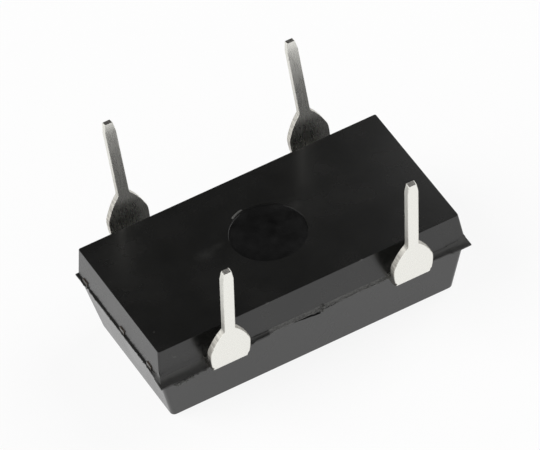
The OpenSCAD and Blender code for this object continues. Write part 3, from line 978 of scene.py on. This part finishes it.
INSIDE = {
    "copper": ("die_pad", "crystal_post_front", "crystal_post_back"),
    "silicon": ("oscillator_chip",),
    "silver_glue": ("chip_adhesive", "blank_glue_front", "blank_glue_back"),
    "gold": (
        "bond_wire_enable", "bond_wire_ground", "bond_wire_output", "bond_wire_supply",
        "bond_wire_crystal_front", "bond_wire_crystal_back",
    ),
    "nickel_silver": ("crystal_can",),
    "stem_alloy": ("stem_ring", "crystal_wire_front", "crystal_wire_back"),
    "glass": ("glass_seal",),
    "quartz": ("quartz_blank",),
    "silver": ("electrode_upper", "electrode_lower"),
}


def frame_copper(settings):
    """Bare copper strip, rolled: fine lines along the body. Where a tie bar was cut off outside, the end is
    smeared with compound and tarnished to a dull grey-brown."""
    # Rolling lines 0.05 mm apart.
    material = patterned(
        "bare_copper_rolled_strip", settings.copper, NOISE, size=0.05, tones=(0.8, 1.1), rough=(0.25, 0.4),
        relief=0.004, stretch=(0.05, 1, 1), metallic=1,
    )
    # The tie bars were cut off at the left end wall, 6.38 mm from the middle.
    return fading(material, "X", -6.32, -6.38, shade(settings.cut_end, 1), metallic=0.2)


class OSCILLATOR_OT_inside(bpy.types.Operator):
    """Gives the frame, chip, wires and crystal unit inside the body their finishes"""
    bl_idname = "oscillator.inside"
    bl_label = "Inner Finishes"

    def execute(self, context):
        s = context.scene.oscillator_inside
        finishes = {
            "copper": frame_copper(s),
            # Sawn and polished silicon: dark, glassy and nearly even.
            "silicon": patterned(
                "silicon_sawn_and_polished", s.silicon, NOISE, size=0.2, tones=(0.9, 1.1), rough=(0.12, 0.2),
                relief=0.001, metallic=0.6,
            ),
            # Cured glue full of silver flakes: grey, grainy and matt. Flakes are drawn 0.05 mm wide.
            "silver_glue": patterned(
                "silver_filled_epoxy_glue_cured", s.silver_glue, CELLS, size=0.05, tones=(1.1, 0.7),
                rough=(0.4, 0.6), relief=0.01, metallic=0.7,
            ),
            # Drawn gold wire: fine draw marks and a bright yellow gloss.
            "gold": patterned(
                "gold_wire_drawn", s.gold, NOISE, size=0.02, tones=(0.92, 1.05), rough=(0.15, 0.25),
                relief=0.001, metallic=1,
            ),
            # Deep-drawn nickel silver: draw lines along the can.
            "nickel_silver": patterned(
                "nickel_silver_deep_drawn", s.nickel_silver, NOISE, size=0.08, tones=(0.88, 1.05),
                rough=(0.2, 0.34), relief=0.003, stretch=(0.04, 1, 1), metallic=1,
            ),
            # Turned iron-nickel alloy: fine turning lines, dull.
            "stem_alloy": patterned(
                "iron_nickel_alloy_turned", s.stem_alloy, WAVES, size=0.25, tones=(0.85, 1.05),
                rough=(0.28, 0.4), relief=0.004, metallic=1,
            ),
            # Pressed and fused seal glass: blue-grey with small bubbles.
            "glass": patterned(
                "seal_glass_fused", s.glass, CELLS, size=0.18, tones=(0.85, 1.1), rough=(0.08, 0.16),
                relief=0.004, ior=1.52, transmission_weight=0.35,
            ),
            # Lapped quartz: clear with a fine frosted skin.
            "quartz": patterned(
                "quartz_lapped", s.quartz, NOISE, size=0.06, tones=(0.95, 1.03), rough=(0.18, 0.3),
                relief=0.002, ior=1.544, transmission_weight=0.7,
            ),
            # Evaporated silver: a thin even mirror that shows the lapping under it.
            "silver": patterned(
                "silver_film_evaporated", s.silver, NOISE, size=0.06, tones=(0.94, 1.04),
                rough=(0.14, 0.26), relief=0.001, metallic=1,
            ),
        }
        for kind, names in INSIDE.items():
            for name in names:
                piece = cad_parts[name]
                if not piece.material_slots:
                    piece.data.materials.append(finishes[kind])
                for slot in piece.material_slots:
                    slot.material = finishes[kind]
        return {"FINISHED"}


# Stage

WHITE = (1, 1, 1, 1)

# The lamps, in metres and watts: name, place, size and power. All of them look at the middle of the
# marking face.
LAMPS = [
    ("left_softbox", (-0.5, 0.15, 0.45), 0.6, 4.0), ("right_softbox", (0.5, 0.05, 0.4), 0.5, 2.2),
    ("near_card", (0.0195, 0.018, 0.022), 0.009, 0.00028),
]


def floor_paint(settings):
    """Pale paint that the camera, glossy and see-through surfaces see nearly white, with the object's
    shadow. From below it lets the camera see the marking face."""
    material, tree, shader, _ = finish("studio_floor", base_color=(*settings.floor, 1), roughness=0.9)
    white_share = 0.88
    path = tree.nodes.new("ShaderNodeLightPath")
    seen = path.outputs["Is Camera Ray"]
    for ray in ("Is Glossy Ray", "Is Transmission Ray"):
        seen = node(
            tree, "ShaderNodeMath", {0: seen, 1: path.outputs[ray]}, operation="MAXIMUM"
        ).outputs["Value"]
    share = node(tree, "ShaderNodeMath", {0: seen, 1: white_share}, operation="MULTIPLY")
    white = node(tree, "ShaderNodeEmission", {"Color": WHITE, "Strength": 1.0})
    above = node(tree, "ShaderNodeMixShader", {
        0: share.outputs["Value"], 1: shader.outputs["BSDF"], 2: white.outputs["Emission"],
    })
    both = node(tree, "ShaderNodeMixShader", {
        0: tree.nodes.new("ShaderNodeNewGeometry").outputs["Backfacing"], 1: above.outputs["Shader"],
        2: tree.nodes.new("ShaderNodeBsdfTransparent").outputs["BSDF"],
    })
    plug(tree, tree.nodes["Material Output"], {"Surface": both.outputs["Shader"]})
    return material


def studio_walls():
    """White walls in front and beside, and a dim ceiling that comes down behind. The camera sees white."""
    world = bpy.data.worlds.new("studio")
    world.use_nodes = True
    tree = world.node_tree
    way = node(tree, "ShaderNodeVectorMath", {
        0: tree.nodes.new("ShaderNodeTexCoord").outputs["Generated"], 1: (0, 0.5, 1),
    }, operation="DOT_PRODUCT")
    ceiling = node(tree, "ShaderNodeMapRange", {
        "Value": way.outputs["Value"], "From Min": 0.12, "From Max": 0.5, "To Min": 1.0, "To Max": 0.05,
    }, interpolation_type="SMOOTHSTEP")
    level = node(tree, "ShaderNodeMath", {
        0: tree.nodes.new("ShaderNodeLightPath").outputs["Is Camera Ray"], 1: ceiling.outputs["Result"],
    }, operation="MAXIMUM")
    plug(tree, tree.nodes["Background"], {"Color": WHITE, "Strength": level.outputs["Value"]})
    return world


def set_camera(settings):
    azimuth, elevation = settings.azimuth, settings.elevation
    level, up = math.cos(elevation), math.sin(elevation)
    back = Vector((math.sin(azimuth) * level, -math.cos(azimuth) * level, up))
    bpy.ops.object.camera_add(location=Vector(settings.target) + back * settings.distance)
    camera = bpy.context.active_object
    camera.name = "camera"
    camera.rotation_euler = (
        (-back).to_track_quat("-Z", "Y") @ Quaternion((0, 0, 1), -settings.roll)
    ).to_euler()
    camera.data.sensor_width, camera.data.lens = 36, settings.lens
    camera.data.clip_start, camera.data.clip_end = 0.01, 5
    bpy.context.scene.camera = camera


class OSCILLATOR_OT_stage(bpy.types.Operator):
    """Sets the pale floor, the soft lights and the camera"""
    bl_idname = "oscillator.stage"
    bl_label = "Stage"

    def execute(self, context):
        settings = context.scene.oscillator_stage
        deselect()
        # The floor lies a hair under the marking face.
        bpy.ops.mesh.primitive_plane_add(size=2, location=(0, 0, -0.01 * MM))
        floor = named("studio_floor")
        floor.data.materials.append(floor_paint(settings))
        context.scene.world = studio_walls()
        for name, place, size, power in LAMPS:
            bpy.ops.object.light_add(type="AREA", location=place)
            lamp = context.active_object
            lamp.name = name
            lamp.data.energy, lamp.data.size = power, size
            lamp.rotation_euler = Vector(place).to_track_quat("Z", "Y").to_euler()
            lamp.visible_camera = False
        set_camera(settings)
        context.scene.view_settings.view_transform = "Standard"
        deselect()
        return {"FINISHED"}


class OSCILLATOR_PT_panel(bpy.types.Panel):
    bl_label = "Crystal Oscillator"
    bl_idname = "OSCILLATOR_PT_panel"
    bl_space_type = "VIEW_3D"
    bl_region_type = "UI"
    bl_category = "Oscillator"

    def draw(self, context):
        for step in STEPS:
            self.layout.operator(step.bl_idname)


STEPS = (OSCILLATOR_OT_body, OSCILLATOR_OT_leads, OSCILLATOR_OT_inside, OSCILLATOR_OT_stage)
SETTINGS = {
    "oscillator_body": BodySettings, "oscillator_leads": LeadSettings,
    "oscillator_inside": InsideSettings, "oscillator_stage": StageSettings,
}


def register():
    for kind in (*SETTINGS.values(), *STEPS, OSCILLATOR_PT_panel):
        bpy.utils.register_class(kind)
    for name, kind in SETTINGS.items():
        setattr(bpy.types.Scene, name, PointerProperty(type=kind))


def unregister():
    for name in SETTINGS:
        delattr(bpy.types.Scene, name)
    for kind in reversed((*SETTINGS.values(), *STEPS, OSCILLATOR_PT_panel)):
        bpy.utils.unregister_class(kind)


def main():
    register()
    bpy.ops.oscillator.body()
    bpy.ops.oscillator.leads()
    bpy.ops.oscillator.inside()
    bpy.ops.oscillator.stage()


if __name__ == "__main__":
    main()
